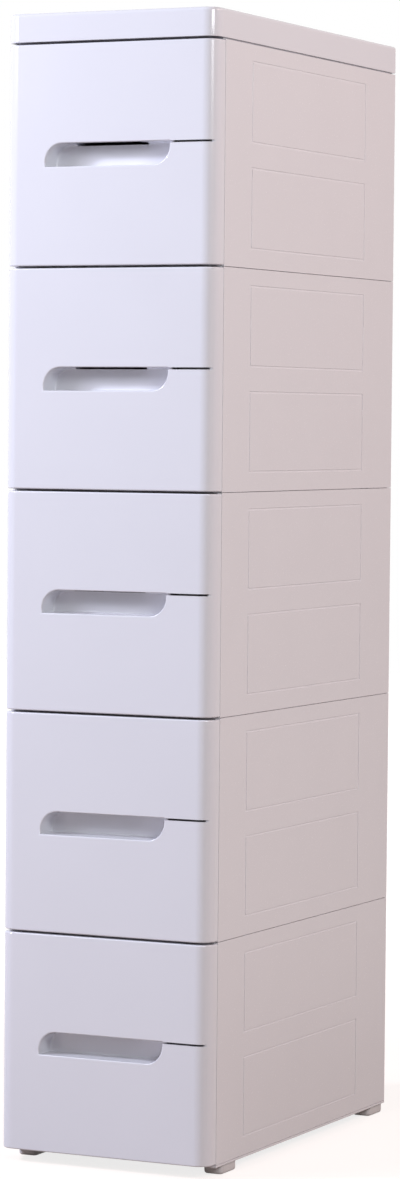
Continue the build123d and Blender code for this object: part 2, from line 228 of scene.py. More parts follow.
def add_node(tree, kind, links=None, **settings):
    """Adds a node, sets its properties or sockets by name and links its inputs."""
    node = tree.nodes.new(kind)
    for name, value in settings.items():
        if name in node.bl_rna.properties:
            setattr(node, name, value)
        else:
            node.inputs[name.replace("_", " ")].default_value = value
    for name, socket in (links or {}).items():
        tree.links.new(socket, node.inputs[name])
    return node


def seen_rays(tree):
    """1 for what the camera sees, directly, mirrored or through glass, and else 0."""
    path = add_node(tree, "ShaderNodeLightPath")
    first = add_node(tree, "ShaderNodeMath", {0: path.outputs["Is Camera Ray"],
                                              1: path.outputs["Is Glossy Ray"]},
                     operation="MAXIMUM")
    return add_node(tree, "ShaderNodeMath", {0: first.outputs["Value"],
                                             1: path.outputs["Is Transmission Ray"]},
                    operation="MAXIMUM").outputs["Value"]


def moulded_plastic(name, base, roughness, ior, wave_mm, wave_height_mm, grain_mm,
                    grain_height_mm, top_roughness=None):
    """An injection-moulded plastic: a smooth skin with slow sink waves and a fine grain.

    Where a top roughness is given, it takes over on what faces up.
    """
    material = bpy.data.materials.new(name)
    material.use_nodes = True
    tree = material.node_tree
    shader = tree.nodes["Principled BSDF"]
    coordinates = add_node(tree, "ShaderNodeTexCoord")
    place = coordinates.outputs["Object"]
    waves = add_node(tree, "ShaderNodeTexNoise", {"Vector": place},
                     Scale=1 / (wave_mm * MM), Detail=1.0)
    grain = add_node(tree, "ShaderNodeTexNoise", {"Vector": place},
                     Scale=1 / (grain_mm * MM), Detail=2.0)
    tone = add_node(tree, "ShaderNodeMix", {"Factor": waves.outputs["Fac"]},
                    data_type="RGBA")
    for socket, share in zip("AB", TONE_SPREAD):
        tone.inputs[socket].default_value = (*[min(1.0, c * share) for c in base], 1)
    gloss = add_node(tree, "ShaderNodeMapRange", {"Value": grain.outputs["Fac"]},
                     To_Min=roughness * GLOSS_SPREAD[0],
                     To_Max=roughness * GLOSS_SPREAD[1])
    if top_roughness:
        facing = add_node(tree, "ShaderNodeSeparateXYZ",
                          {"Vector": coordinates.outputs["Normal"]})
        links = {"Value": facing.outputs["Z"], "To Min": gloss.outputs["Result"]}
        gloss = add_node(tree, "ShaderNodeMapRange", links,
                         From_Min=UPWARD, From_Max=1.0, To_Max=top_roughness)
    sink = add_node(tree, "ShaderNodeBump", {"Height": waves.outputs["Fac"]},
                    Strength=1.0, Distance=wave_height_mm * MM)
    skin = add_node(tree, "ShaderNodeBump",
                    {"Height": grain.outputs["Fac"], "Normal": sink.outputs["Normal"]},
                    Strength=1.0, Distance=grain_height_mm * MM)
    tree.links.new(tone.outputs["Result"], shader.inputs["Base Color"])
    tree.links.new(gloss.outputs["Result"], shader.inputs["Roughness"])
    tree.links.new(skin.outputs["Normal"], shader.inputs["Normal"])
    shader.inputs["IOR"].default_value = ior
    return material


def material_once(name, make):
    """The material of that name, made the first time it is asked for."""
    return bpy.data.materials.get(name) or make(name)


def front_plastic():
    # High-gloss ABS from a polished mould: a clean reflection that sags a little between
    # the ribs behind it.
    base = bpy.context.scene.tower_finishes.front_colour
    return material_once("gloss_abs_polished_mould", lambda name: moulded_plastic(
        name, base, roughness=0.16, ior=1.53, wave_mm=70, wave_height_mm=0.05,
        grain_mm=1.6, grain_height_mm=0.0015))


def cap_plastic():
    # The same ABS with a mirror polish: a small, crisp, bright highlight at the corners,
    # and a top with a fine matte texture, which hides the scratches of what stands on it.
    base = bpy.context.scene.tower_finishes.front_colour
    return material_once("mirror_abs_polished_cap", lambda name: moulded_plastic(
        name, base, roughness=0.07, ior=1.53, wave_mm=70, wave_height_mm=0.03,
        grain_mm=1.6, grain_height_mm=0.001, top_roughness=0.62))


def shell_plastic():
    # Polypropylene panels from a plainer mould: softer reflections with a faint grain.
    base = bpy.context.scene.tower_finishes.shell_colour
    return material_once("satin_polypropylene_panel", lambda name: moulded_plastic(
        name, base, roughness=0.26, ior=1.49, wave_mm=55, wave_height_mm=0.06,
        grain_mm=1.2, grain_height_mm=0.003))


def inner_plastic():
    # Natural polypropylene boxes: milky, with a dull eroded-mould grain.
    base = bpy.context.scene.tower_finishes.inner_colour
    return material_once("matte_polypropylene_box", lambda name: moulded_plastic(
        name, base, roughness=0.45, ior=1.49, wave_mm=40, wave_height_mm=0.05,
        grain_mm=1.0, grain_height_mm=0.01))


def pad_plastic():
    # Soft polyethylene pads: dull, slightly scuffed.
    base = bpy.context.scene.tower_finishes.pad_colour
    return material_once("dull_polyethylene_pad", lambda name: moulded_plastic(
        name, base, roughness=0.55, ior=1.5, wave_mm=9, wave_height_mm=0.05,
        grain_mm=0.8, grain_height_mm=0.02))


def paint(piece, material):
    """Gives a piece one material."""
    piece.data.materials.clear()
    piece.data.materials.append(material)


# Shapes

NEAR = 0.01 * MM            # how close counts as the same place
OVER = 1 * MM               # how far a cutter stands clear of what it cuts
WELD = 0.002 * MM           # points closer than this become one
PARALLEL = 0.999            # least cosine between an axis and what runs along it
LINE_EASE = 0.4             # radius of an engraved line's edges, as a share of its depth
CLEAR_ANGLE = math.radians(30)      # sharper edges are eased
CREASE_ANGLE = math.radians(50)     # and still sharper ones show as a line
FLAT_ANGLE = math.radians(0.2)      # faces that meet at less than this become one
X, Y, Z = range(3)
PANEL_CELLS = (4, 2)        # hollows between the ribs of each hidden face
BACK_CELLS = (2, 2)
BOARD_CELLS = (2, 4)
CAP_CELLS = (3, 4)


def box_of(node):
    """A CAD node's lowest and highest corners."""
    low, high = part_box(node)
    return Vector(low), Vector(high)


def blocks(*corners):
    """A bmesh of one box for each pair of corners."""
    bm = bmesh.new()
    for low, high in corners:
        low, high = Vector(low), Vector(high)
        made = bmesh.ops.create_cube(bm, size=1.0)["verts"]
        bmesh.ops.scale(bm, vec=high - low, verts=made)
        bmesh.ops.translate(bm, vec=(low + high) / 2, verts=made)
    return bm


def middle(edge):
    """The middle of an edge."""
    return (edge.verts[0].co + edge.verts[1].co) / 2


def runs_along(edge, axis):
    """Whether an edge is parallel to an axis."""
    run = (edge.verts[1].co - edge.verts[0].co).normalized()
    return abs(run[axis]) > PARALLEL


def rounded(bm, radius, test, segments=4):
    """Rounds the edges that pass a test."""
    bmesh.ops.bevel(bm, geom=[e for e in bm.edges if test(e)], offset=radius,
                    offset_type="OFFSET", segments=segments, profile=0.5, affect="EDGES",
                    clamp_overlap=True, material=-1)
    return bm


def corners_rounded(bm, front_radius, back_radius, segments=12):
    """Rounds the upright corners of a box, in front and behind."""
    middle_y = sum(v.co.y for v in bm.verts) / len(bm.verts)
    if front_radius:
        rounded(bm, front_radius, lambda e: runs_along(e, Z) and middle(e).y < middle_y,
                segments)
    if back_radius:
        back = max(v.co.y for v in bm.verts)
        rounded(bm, back_radius, lambda e: runs_along(e, Z) and middle(e).y > back - NEAR,
                segments)
    return bm


def eased(bm, radius, segments=2):
    """Rounds every edge where two faces meet at a clear angle."""
    return rounded(bm, radius, lambda e: len(e.link_faces) == 2
                   and e.calc_face_angle() > CLEAR_ANGLE, segments)


def placed(name, data):
    """A new object in the scene."""
    item = bpy.data.objects.new(name, data)
    bpy.context.scene.collection.objects.link(item)
    return item


def object_of(bm, name):
    """A new object in the scene that takes a shape over."""
    mesh = bpy.data.meshes.new(name)
    bm.to_mesh(mesh)
    bm.free()
    return placed(name, mesh)


def combined(bm, other, operation):
    """One shape joined with another, or cut by it."""
    kept, tool = object_of(bm, "scratch"), object_of(other, "scratch")
    change = kept.modifiers.new("Change", "BOOLEAN")
    change.operation = operation
    change.solver = "EXACT"
    change.object = tool
    graph = bpy.context.evaluated_depsgraph_get()
    mesh = bpy.data.meshes.new_from_object(kept.evaluated_get(graph))
    result = bmesh.new()
    result.from_mesh(mesh)
    spare = [mesh, kept.data, tool.data]
    for item in (kept, tool):
        bpy.data.objects.remove(item)
    for item in spare:
        bpy.data.meshes.remove(item)
    bmesh.ops.remove_doubles(result, verts=result.verts[:], dist=WELD)
    bmesh.ops.dissolve_limit(result, angle_limit=FLAT_ANGLE, verts=result.verts[:],
                             edges=result.edges[:])
    return result


def cut(bm, *tools):
    """A shape cut by others in turn."""
    for tool in tools:
        bm = combined(bm, tool, "DIFFERENCE")
    return bm


def join(bm, *parts):
    """A shape joined with others in turn."""
    for part in parts:
        bm = combined(bm, part, "UNION")
    return bm


def cells(low, high, counts, rib, axes):
    """The boxes that ribs divide a block into, along two of its axes."""
    low, high = Vector(low), Vector(high)
    steps = [(high[axis] - low[axis] + rib) / count for axis, count in zip(axes, counts)]
    corners = []
    for places in itertools.product(*map(range, counts)):
        start, end = low.copy(), high.copy()
        for axis, step, place in zip(axes, steps, places):
            start[axis] = low[axis] + place * step
            end[axis] = start[axis] + step - rib
        corners.append((start, end))
    return blocks(*corners)


def finished(bm, name, body, material, node):
    """Turns a shape into a piece that rides on a body and replaces a CAD node."""
    bmesh.ops.recalc_face_normals(bm, faces=bm.faces[:])
    for face in bm.faces:
        face.smooth = True
    for edge in bm.edges:
        edge.smooth = len(edge.link_faces) == 2 and edge.calc_face_angle() < CREASE_ANGLE
    piece = object_of(bm, name)
    piece.modifiers.new("Even shading", "WEIGHTED_NORMAL").keep_sharp = True
    paint(piece, material)
    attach(piece, body)
    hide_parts(node)


def repeated(bm, tiers, name, body, material, node):
    """The same piece in each tier. The names hold a place for the tier's number."""
    for tier in tiers:
        copy = bm.copy()
        bmesh.ops.translate(copy, vec=(0, 0, (tier - 1) * PITCH), verts=copy.verts[:])
        finished(copy, name.format(tier), body.format(tier), material,
                 node.format(tier))
    bm.free()


# Places that the frame gives. Those with a height are in the lowest tier.

TOWER_LOW, TOWER_HIGH = Vector(cad_low), Vector(cad_high)
SIDE_X, FRONT_Y, BACK_Y, TOP_Z = TOWER_HIGH.x, TOWER_LOW.y, TOWER_HIGH.y, TOWER_HIGH.z
FRONT_LOW, FRONT_HIGH = box_of("drawer_front_1")
PANEL_LOW, PANEL_HIGH = box_of("right_panel_1")
BACK_LOW, BACK_HIGH = box_of("back_panel_1")
BOARD_LOW, BOARD_HIGH = box_of("shelf_board_1")
BOX_LOW, BOX_HIGH = box_of("drawer_box_1")
BASE_LOW, BASE_HIGH = box_of("base_frame")
PITCH = box_of("drawer_front_2")[0].z - FRONT_LOW.z
GRIP_Z = (FRONT_LOW.z + FRONT_HIGH.z) / 2
SEAM = GRIP_Z - PITCH / 2
TOP_SEAM = SEAM + TIERS * PITCH
TRAVEL = max(joint["range_m"][1] for joint in frame["record"]["behaviour"]["joints"])
PADS = ("front_left", "front_right", "back_left", "back_right")


def board_seats(low_y, half_x, sizes):
    """Cutters for the seats at both ends of a panel, where the boards plug in."""
    back = BOARD_HIGH.y + sizes.fit
    return blocks(
        ((-half_x, low_y, PANEL_LOW.z - OVER), (half_x, back, SEAM + sizes.board / 2)),
        ((-half_x, low_y, SEAM + PITCH - sizes.board / 2),
         (half_x, back, PANEL_HIGH.z + OVER)))


def underside(bottom, top, half_x, margin_front, counts, sizes):
    """Cutters for the hollows between the ribs under a board."""
    return cells((-half_x, PANEL_LOW.y + margin_front, bottom - OVER),
                 (half_x, BOARD_HIGH.y - sizes.skin, top), counts, sizes.rib, (X, Y))


def stops(seam, sizes):
    """Two stops under a board's front edge, for the ears of the drawer below."""
    outer = SIDE_X - sizes.panel - sizes.side_gap
    front = PANEL_LOW.y + sizes.stop_setback
    low = seam - sizes.board / 2 - sizes.stop_drop
    high = seam - sizes.board / 2 + sizes.skin / 2
    corners = []
    for side in (-1, 1):
        near, far = sorted((side * outer, side * (outer - sizes.stop_width)))
        corners.append(((near, front, low), (far, front + sizes.stop_length, high)))
    return blocks(*corners)


# Operators


class TOWER_OT_drawer_fronts(bpy.types.Operator):
    """Glossy hollow fronts with their grips"""

    bl_idname = "tower.drawer_fronts"
    bl_label = "Drawer Fronts"

    def execute(self, context):
        sizes = context.scene.tower_sizes
        bm = self.grip(self.shell(sizes), sizes)
        bm = self.fastenings(bm, sizes)
        repeated(bm, range(1, TIERS + 1), "gloss_front_{}", "drawer_{}", front_plastic(),
                 "drawer_front_{}")
        return {"FINISHED"}

    def shell(self, sizes):
        """A block with round front corners and soft edges, hollow from behind."""
        back, skin = FRONT_Y + sizes.return_depth, sizes.skin
        bm = blocks(((-SIDE_X, FRONT_Y, FRONT_LOW.z), (SIDE_X, back, FRONT_HIGH.z)))
        corners_rounded(bm, sizes.corner_radius, 0)
        rounded(bm, sizes.front_edge, lambda e: middle(e).y < back - NEAR
                and (FRONT_HIGH.z - FRONT_LOW.z) / 2 - abs(middle(e).z - GRIP_Z) < NEAR)
        hollow = blocks(((skin - SIDE_X, FRONT_Y + skin, FRONT_LOW.z + skin),
                         (SIDE_X - skin, back + OVER, FRONT_HIGH.z - skin)))
        bm = cut(bm, corners_rounded(hollow, sizes.corner_radius - skin, 0))
        return eased(bm, sizes.return_edge)

    def grip(self, bm, sizes):
        """A pocket with two round corners, and a hooded hold behind its upper lip."""
        wall, inside = sizes.grip_wall, FRONT_Y + sizes.skin / 2
        x = -sizes.grip_left
        half_x, half_z = sizes.grip_length / 2, sizes.grip_height / 2
        low, high = GRIP_Z - half_z, GRIP_Z + half_z
        floor = FRONT_Y + sizes.grip_depth
        left = -sizes.hold_left - sizes.hold_length / 2
        right = left + sizes.hold_length
        hold_low, hold_high = high - sizes.hold_drop, high + sizes.hold_rise
        pocket = blocks(((x - half_x - wall, inside, low - wall),
                         (x + half_x + wall, floor + wall, high + wall)))
        hood = blocks(((left - wall, inside, hold_low - wall),
                       (right + wall, FRONT_HIGH.y, hold_high + wall)))
        opening = blocks(((x - half_x, FRONT_Y - OVER, low), (x + half_x, floor, high)))
        rounded(opening, sizes.grip_round, lambda e: runs_along(e, Y)
                and (middle(e).x < x) == (middle(e).z > GRIP_Z), segments=10)
        rounded(opening, sizes.grip_floor, lambda e: middle(e).y > floor - NEAR,
                segments=3)
        bm = cut(join(bm, pocket, hood), opening)
        rounded(bm, sizes.grip_rim, lambda e: middle(e).y < FRONT_Y + NEAR
                and abs(middle(e).x - x) < half_x + NEAR
                and abs(middle(e).z - GRIP_Z) < half_z + NEAR)
        hold = blocks(((left, FRONT_Y + sizes.hold_lip, hold_low),
                       (right, FRONT_HIGH.y + OVER, hold_high)))
        groove = blocks(((x + half_x - sizes.grip_rim, FRONT_Y - OVER,
                          high - sizes.groove_height),
                         (SIDE_X + OVER, FRONT_Y + sizes.groove_depth, high)))
        return cut(bm, hold, groove)

    def fastenings(self, bm, sizes):
        """Studs that stand on the box's front plate, and hooks that snap through it."""
        inside = FRONT_Y + sizes.skin / 2
        plate_back = BOX_LOW.y + sizes.plate
        end = plate_back + sizes.hook_reach
        solids, barbs = [], []
        for side, rise in itertools.product((-1, 1), repeat=2):
            x = side * (SIDE_X - sizes.stud_inset)
            z = GRIP_Z + rise * ((FRONT_HIGH.z - FRONT_LOW.z) / 2 - sizes.stud_inset)
            half = sizes.stud / 2
            solids.append(((x - half, inside, z - half), (x + half, BOX_LOW.y, z + half)))
            x, z = side * sizes.hook_spread / 2, GRIP_Z + rise * sizes.hook_rise / 2
            half, top = sizes.hook_width / 2, z + sizes.hook_thickness / 2
            solids.append(((x - half, inside, top - sizes.hook_thickness),
                           (x + half, end, top)))
            barbs.append(((x - half, plate_back + sizes.fit, z),
                          (x + half, end, top + sizes.hook_barb)))
        return join(bm, blocks(*solids), blocks(*barbs))


class TOWER_OT_drawer_boxes(bpy.types.Operator):
    """Open boxes that carry the fronts"""

    bl_idname = "tower.drawer_boxes"
    bl_label = "Drawer Boxes"

    def execute(self, context):
        sizes = context.scene.tower_sizes
        bm = self.windows(self.tub(sizes), sizes)
        repeated(eased(bm, sizes.ease), range(1, TIERS + 1), "drawer_tub_{}", "drawer_{}",
                 inner_plastic(), "drawer_box_{}")
        return {"FINISHED"}

    def tub(self, sizes):
        """A tub with a bead round its rim, a front plate, runners and ears."""
        reach, wall = sizes.bead_reach, sizes.box_wall
        half = SIDE_X - sizes.panel - sizes.side_gap
        in_plate, plate_back = BOX_LOW.y + sizes.plate / 2, BOX_LOW.y + sizes.plate
        back = BOX_HIGH.y - reach
        bottom = SEAM + sizes.board / 2 + sizes.slide_gap
        low, rim = bottom + sizes.runner_height, SEAM + PITCH - sizes.rim_drop
        bm = blocks(((-half, in_plate, low), (half, back, rim - sizes.bead_height / 2)))
        corners_rounded(bm, 0, sizes.box_round)
        rounded(bm, sizes.box_floor - wall, lambda e: middle(e).z < low + NEAR
                and middle(e).y > in_plate + NEAR, segments=3)
        bead = blocks(((-half - reach, in_plate, rim - sizes.bead_height),
                       (half + reach, back + reach, rim)))
        corners_rounded(bead, 0, sizes.box_round + reach)
        plate_x = SIDE_X - sizes.skin - sizes.fit
        plate = blocks(((-plate_x, BOX_LOW.y, BOX_LOW.z),
                        (plate_x, plate_back, BOX_HIGH.z)))
        inside = blocks(((wall - half, plate_back, low + wall),
                         (half - wall, back - wall, rim + OVER)))
        corners_rounded(inside, 0, sizes.box_round - wall)
        rounded(inside, sizes.box_floor, lambda e: middle(e).z < low + wall + NEAR)
        bm = cut(join(bm, bead, plate), inside)
        runner = half - sizes.box_round - sizes.runner_width
        ear = (PANEL_LOW.y + sizes.stop_setback + 2 * sizes.stop_length + TRAVEL
               + sizes.stop_clearance)
        extras = []
        for side in (-1, 1):
            near, far = sorted((side * runner, side * (runner + sizes.runner_width)))
            extras.append(((near, in_plate, bottom),
                           (far, back - sizes.box_round, low + wall / 2)))
            near, far = sorted((side * (half - sizes.stop_width),
                                side * (half - wall / 2)))
            extras.append(((near, ear - sizes.stop_length, rim - sizes.stop_rise),
                           (far, ear, rim + sizes.stop_rise)))
        return join(bm, blocks(*extras))

    def windows(self, bm, sizes):
        """Windows in the front plate for the grip and its hood, and the hooks' slots."""
        front, back = BOX_LOW.y - OVER, BOX_LOW.y + sizes.plate + OVER
        loose = sizes.grip_wall + sizes.fit
        x, half_x = -sizes.grip_left, sizes.grip_length / 2 + loose
        high = GRIP_Z + sizes.grip_height / 2
        openings = [((x - half_x, front, GRIP_Z - sizes.grip_height / 2 - loose),
                     (x + half_x, back, high + loose))]
        for side, rise in itertools.product((-1, 1), repeat=2):
            x, z = side * sizes.hook_spread / 2, GRIP_Z + rise * sizes.hook_rise / 2
            half, slot = sizes.hook_width / 2 + sizes.fit, sizes.hook_thickness / 2
            openings.append(((x - half, front, z - slot - sizes.fit),
                             (x + half, back, z + slot + sizes.hook_barb + sizes.fit)))
        x, half_x = -sizes.hold_left, sizes.hold_length / 2 + loose
        hood = ((x - half_x, front, high - sizes.hold_drop - loose),
                (x + half_x, back, high + sizes.hold_rise + loose))
        return cut(bm, blocks(*openings), blocks(hood))


class TOWER_OT_side_panels(bpy.types.Operator):
    """Satin side panels with two engraved fields each"""

    bl_idname = "tower.side_panels"
    bl_label = "Side Panels"

    def execute(self, context):
        sizes = context.scene.tower_sizes
        bm = self.fields(self.panel(sizes), sizes)
        mirrored = bm.copy()
        bmesh.ops.scale(mirrored, vec=(-1, 1, 1), verts=mirrored.verts[:])
        for side, shape in (("right", bm), ("left", mirrored)):
            repeated(shape, range(1, TIERS + 1), side + "_side_{}", "carcass",
                     shell_plastic(), side + "_panel_{}")
        return {"FINISHED"}

    def panel(self, sizes):
        """A right-hand panel: ribs inside, seats for the boards and a grooved rear."""
        skin, inner = sizes.skin, SIDE_X - sizes.panel
        bm = blocks((PANEL_LOW, PANEL_HIGH))
        rounded(bm, sizes.back_radius, lambda e: runs_along(e, Z)
                and middle(e).x > SIDE_X - NEAR and middle(e).y > BACK_Y - NEAR,
                segments=6)
        hollows = cells((inner - OVER, PANEL_LOW.y + skin, SEAM + sizes.board / 2 + skin),
                        (SIDE_X - skin, BACK_Y - sizes.post,
                         SEAM + PITCH - sizes.board / 2 - skin),
                        PANEL_CELLS, sizes.rib, (Y, Z))
        tongue = BACK_HIGH.y - skin / 2 - sizes.tongue / 2
        half = sizes.tongue / 2 + sizes.fit
        groove = blocks(((inner - OVER, tongue - half, PANEL_LOW.z - OVER),
                         (inner + sizes.tongue_reach + sizes.fit, tongue + half,
                          PANEL_HIGH.z + OVER)))
        seats = board_seats(PANEL_LOW.y - OVER, SIDE_X - skin, sizes)
        return eased(cut(bm, hollows, groove, seats), sizes.ease)

    def fields(self, bm, sizes):
        """The two engraved outlines."""
        depth, half_line = SIDE_X - sizes.line_depth, sizes.line_width / 2
        half_y, half_z = BACK_Y - sizes.field_margin, sizes.field_height / 2
        level, upright = [], []
        for rise in (-1, 1):
            z = (GRIP_Z + sizes.field_lift
                 + rise * (sizes.field_height + sizes.field_spacing) / 2)
            for end in (-1, 1):
                line_y, line_z = end * half_y, z + end * half_z
                level.append(((depth, -half_y - half_line, line_z - half_line),
                              (SIDE_X + OVER, half_y + half_line, line_z + half_line)))
                upright.append(((depth, line_y - half_line, z - half_z),
                                (SIDE_X + OVER, line_y + half_line, z + half_z)))
        return eased(cut(bm, blocks(*level), blocks(*upright)),
                     sizes.line_depth * LINE_EASE)


class TOWER_OT_back_panels(bpy.types.Operator):
    """Plain back panels with tongues along their upright edges"""

    bl_idname = "tower.back_panels"
    bl_label = "Back Panels"

    def execute(self, context):
        sizes = context.scene.tower_sizes
        skin, half = sizes.skin, SIDE_X - sizes.panel - sizes.fit
        bm = blocks(((-half, BACK_LOW.y, PANEL_LOW.z), (half, BACK_HIGH.y, PANEL_HIGH.z)))
        tongue = BACK_HIGH.y - skin / 2 - sizes.tongue
        tongues = blocks(((BACK_LOW.x, tongue, PANEL_LOW.z),
                          (BACK_HIGH.x, tongue + sizes.tongue, PANEL_HIGH.z)))
        hollows = cells((skin - half, BACK_LOW.y - OVER, SEAM + sizes.board / 2 + skin),
                        (half - skin, BACK_HIGH.y - skin,
                         SEAM + PITCH - sizes.board / 2 - skin),
                        BACK_CELLS, sizes.rib, (X, Z))
        seats = board_seats(BACK_LOW.y - OVER, SIDE_X, sizes)
        bm = cut(join(bm, tongues), hollows, seats)
        repeated(eased(bm, sizes.ease), range(1, TIERS + 1), "back_{}", "carcass",
                 shell_plastic(), "back_panel_{}")
        return {"FINISHED"}


class TOWER_OT_boards(bpy.types.Operator):
    """Boards between the tiers, and the ribbed base"""

    bl_idname = "tower.boards"
    bl_label = "Boards and Base"

    def execute(self, context):
        sizes = context.scene.tower_sizes
        seam, half = SEAM + PITCH, sizes.board / 2
        bm = blocks(((BOARD_LOW.x, PANEL_LOW.y, seam - half),
                     (BOARD_HIGH.x, BOARD_HIGH.y, seam + half)))
        hollows = underside(seam - half, seam + half - sizes.skin,
                            BOARD_HIGH.x - sizes.panel,
                            sizes.stop_setback + sizes.stop_length + sizes.skin,
                            BOARD_CELLS, sizes)
        bm = eased(join(cut(bm, hollows), stops(seam, sizes)), sizes.ease)
        repeated(bm, range(1, TIERS), "board_{}", "carcass", inner_plastic(),
                 "shelf_board_{}")
        finished(self.base(sizes), "base", "carcass", shell_plastic(),
                 "base_frame")
        return {"FINISHED"}

    def base(self, sizes):
        """A rim under the lowest panels, a board's upper half, ribs and sockets."""
        bm = blocks(((-SIDE_X, PANEL_LOW.y, BASE_LOW.z), (SIDE_X, BACK_Y, SEAM)))
        corners_rounded(bm, 0, sizes.back_radius)
        plug = blocks(((BOARD_LOW.x, PANEL_LOW.y, (BASE_LOW.z + SEAM) / 2),
                       (BOARD_HIGH.x, BOARD_HIGH.y, BASE_HIGH.z)))
        inner = box_of("foot_front_right")[0].x
        hollows = underside(BASE_LOW.z, BASE_HIGH.z - sizes.skin, inner, sizes.skin,
                            BOARD_CELLS, sizes)
        sockets = []
        for pad in PADS:
            low, high = box_of("foot_" + pad)
            x, y = (low.x + high.x) / 2, (low.y + high.y) / 2
            half_x = sizes.peg_width / 2 + sizes.fit
            half_y = sizes.peg_length / 2 + sizes.fit
            sockets.append(((x - half_x, y - half_y, BASE_LOW.z - OVER),
                            (x + half_x, y + half_y,
                             BASE_LOW.z + sizes.peg_height + sizes.fit)))
        return eased(cut(join(bm, plug), hollows, blocks(*sockets)), sizes.ease)


class TOWER_OT_cap(bpy.types.Operator):
    """Cap with a soft upper edge, over a ribbed plug"""

    bl_idname = "tower.cap"
    bl_label = "Cap"

    def execute(self, context):
        sizes = context.scene.tower_sizes
        skin, low = sizes.skin, TOP_SEAM + FRONT_LOW.z - SEAM
        bm = blocks(((-SIDE_X, FRONT_Y, low), (SIDE_X, BACK_Y, TOP_Z)))
        corners_rounded(bm, sizes.corner_radius, sizes.back_radius)
        rounded(bm, sizes.cap_edge, lambda e: middle(e).z > TOP_Z - NEAR, segments=5)
        rounded(bm, sizes.front_edge / 2, lambda e: middle(e).z < low + NEAR, segments=3)
        inside = blocks(((skin - SIDE_X, FRONT_Y + skin, low - OVER),
                         (SIDE_X - skin, BACK_Y - skin, TOP_Z - skin)))
        corners_rounded(inside, sizes.corner_radius - skin, sizes.back_radius - skin)
        plug_low = TOP_SEAM - sizes.board / 2
        plug = blocks(((BOARD_LOW.x, PANEL_LOW.y, plug_low),
                       (BOARD_HIGH.x, BOARD_HIGH.y, TOP_Z - skin / 2)))
        hollows = underside(plug_low, TOP_Z - skin, BOARD_HIGH.x - skin,
                            sizes.stop_setback + sizes.stop_length + skin, CAP_CELLS,
                            sizes)
        bm = join(cut(join(cut(bm, inside), plug), hollows), stops(TOP_SEAM, sizes))
        finished(eased(bm, sizes.ease), "cap", "carcass", cap_plastic(),
                 "top_cover")
        return {"FINISHED"}


class TOWER_OT_pads(bpy.types.Operator):
    """Pads pressed into the base"""

    bl_idname = "tower.pads"
    bl_label = "Pads"

    def execute(self, context):
        sizes = context.scene.tower_sizes
        for pad in PADS:
            low, high = box_of("foot_" + pad)
            bm = blocks(((low.x, low.y, 0), (high.x, high.y, BASE_LOW.z)))
            rounded(bm, sizes.pad_corner, lambda e: runs_along(e, Z), segments=5)
            rounded(bm, sizes.pad_edge, lambda e: middle(e).z < NEAR)
            x, y = (low.x + high.x) / 2, (low.y + high.y) / 2
            half_x, half_y = sizes.peg_width / 2, sizes.peg_length / 2
            peg = blocks(((x - half_x, y - half_y, BASE_LOW.z - OVER),
                          (x + half_x, y + half_y, BASE_LOW.z + sizes.peg_height)))
            finished(eased(join(bm, peg), sizes.ease), "pad_" + pad, "carcass",
                     pad_plastic(), "foot_" + pad)
        return {"FINISHED"}


WHITE = (1, 1, 1, 1)
SENSOR_MM = 36                          # along the picture's longer side
VIEW_END = 50                           # metres, past the far edge of the floor
AMBIENT_TINT = (1.0, 0.92, 0.92, 1)     # of the light that the surroundings give
AMBIENT_STRENGTH = 0.14
FLOOR_HALF = 6                          # metres from the tower to the floor's edges
FLOOR_ROUGHNESS = 0.9
FLOOR_GLOW = 0.79                       # beside the tower, where the shadow has to show
FADE_START = 1 / 3                      # share of the fade's distance where it begins


